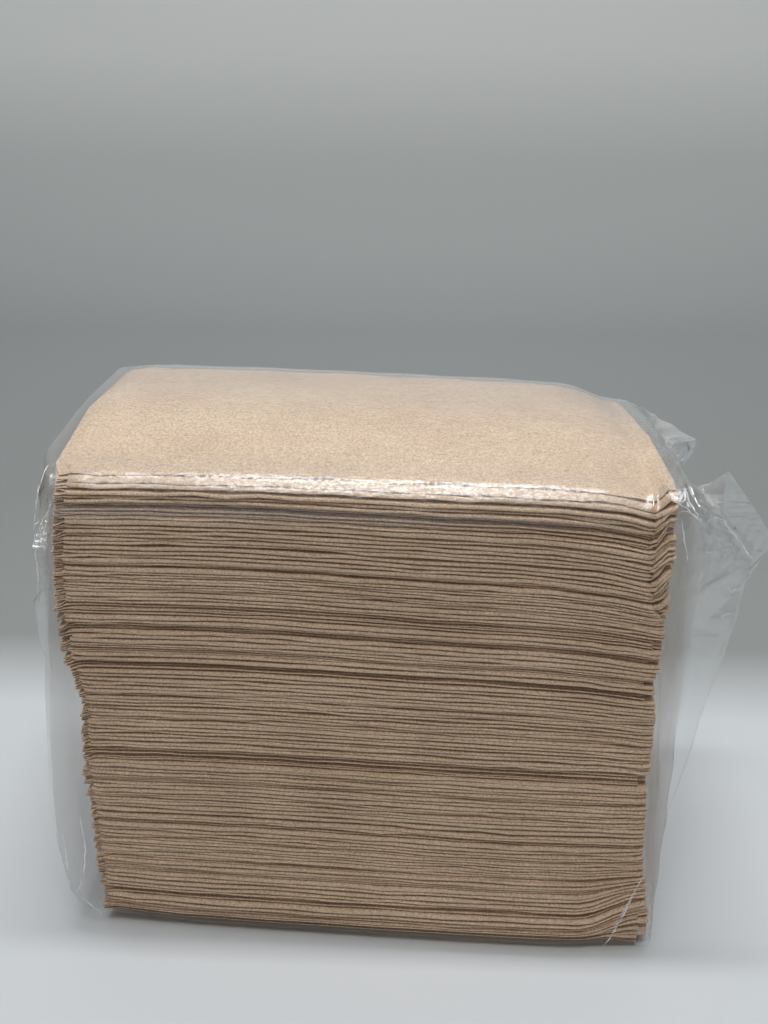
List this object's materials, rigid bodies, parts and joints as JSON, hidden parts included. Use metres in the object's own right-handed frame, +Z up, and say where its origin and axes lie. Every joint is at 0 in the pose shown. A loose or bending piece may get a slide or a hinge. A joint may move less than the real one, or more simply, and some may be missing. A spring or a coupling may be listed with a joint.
{
  "type": "film-wrapped pack of interfolded paper napkins",
  "caption": "Block of kraft paper napkins, each folded once and interleaved with the next, sealed in clear film that is drawn out to a seal at one end.",
  "frame": {"origin": "on the underside of the film, below the middle of the napkin stack", "axes": "+X along the folds towards the end where the film is drawn out to its seal, +Y from the front to the back, +Z up the stack"},
  "size_m": [0.2061, 0.1084, 0.1453],
  "materials": {
    "kraft_tissue": "soft unbleached brown tissue, matt, with fine fibres and a light crepe",
    "clear_film": "thin clear glossy polyethylene film with wrinkles"
  },
  "bodies": {
    "root": {"film_wrap": "clear_film", "top_napkin": "kraft_tissue", "napkins_folded_in_front": "kraft_tissue", "napkins_folded_at_back": "kraft_tissue", "bottom_napkin": "kraft_tissue"}
  },
  "joints": []
}
